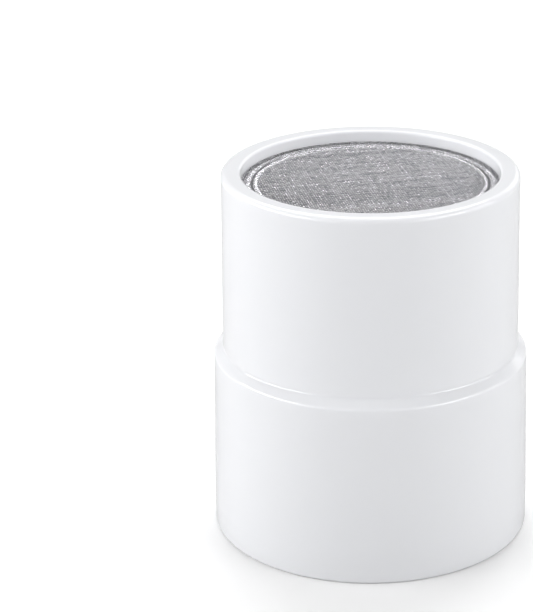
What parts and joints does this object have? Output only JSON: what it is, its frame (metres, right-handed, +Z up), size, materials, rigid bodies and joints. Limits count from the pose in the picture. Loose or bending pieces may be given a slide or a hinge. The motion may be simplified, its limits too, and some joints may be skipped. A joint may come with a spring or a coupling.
{
  "type": "inline water filter cartridge",
  "caption": "Stepped round drop-in cartridge for an inline water filter, with a recessed wire mesh inlet, layered granular media and a snapped-in windowed base cap.",
  "frame": {"origin": "centre of the base face, on the surface that the cartridge stands on", "axes": "+Z up along the cartridge's own axis, from the base to the mesh end; the part is round, and +X lies along the split of the clamp ring"},
  "size_m": [0.059, 0.059, 0.0685],
  "materials": {
    "moulded_shell": "moulded white, soft gloss",
    "moulded_grid": "moulded natural white, satin",
    "wire_cloth": "plain woven stainless wire, bright",
    "felt": "needled polypropylene felt",
    "foam": "open-cell foam",
    "copper_zinc_granules": "dull granules",
    "sulphite_prills": "chalky round prills",
    "carbon_granules": "black crushed granules",
    "seal_rubber": "matt black"
  },
  "bodies": {
    "root": {"housing": "moulded_shell", "inlet_mesh": "wire_cloth", "inlet_grid": "moulded_grid", "inlet_felt": "felt", "kdf_bed": "copper_zinc_granules", "kdf_screen": "wire_cloth", "upper_divider": "moulded_grid", "sulphite_bed": "sulphite_prills", "divider_screen": "wire_cloth", "lower_divider": "moulded_grid", "divider_felt": "felt", "carbon_bed": "carbon_granules", "packing_foam": "foam", "outlet_felt": "felt", "screen_ring": "moulded_grid", "outlet_mesh": "wire_cloth", "outlet_cap": "moulded_shell", "cap_seal": "seal_rubber"}
  },
  "joints": []
}
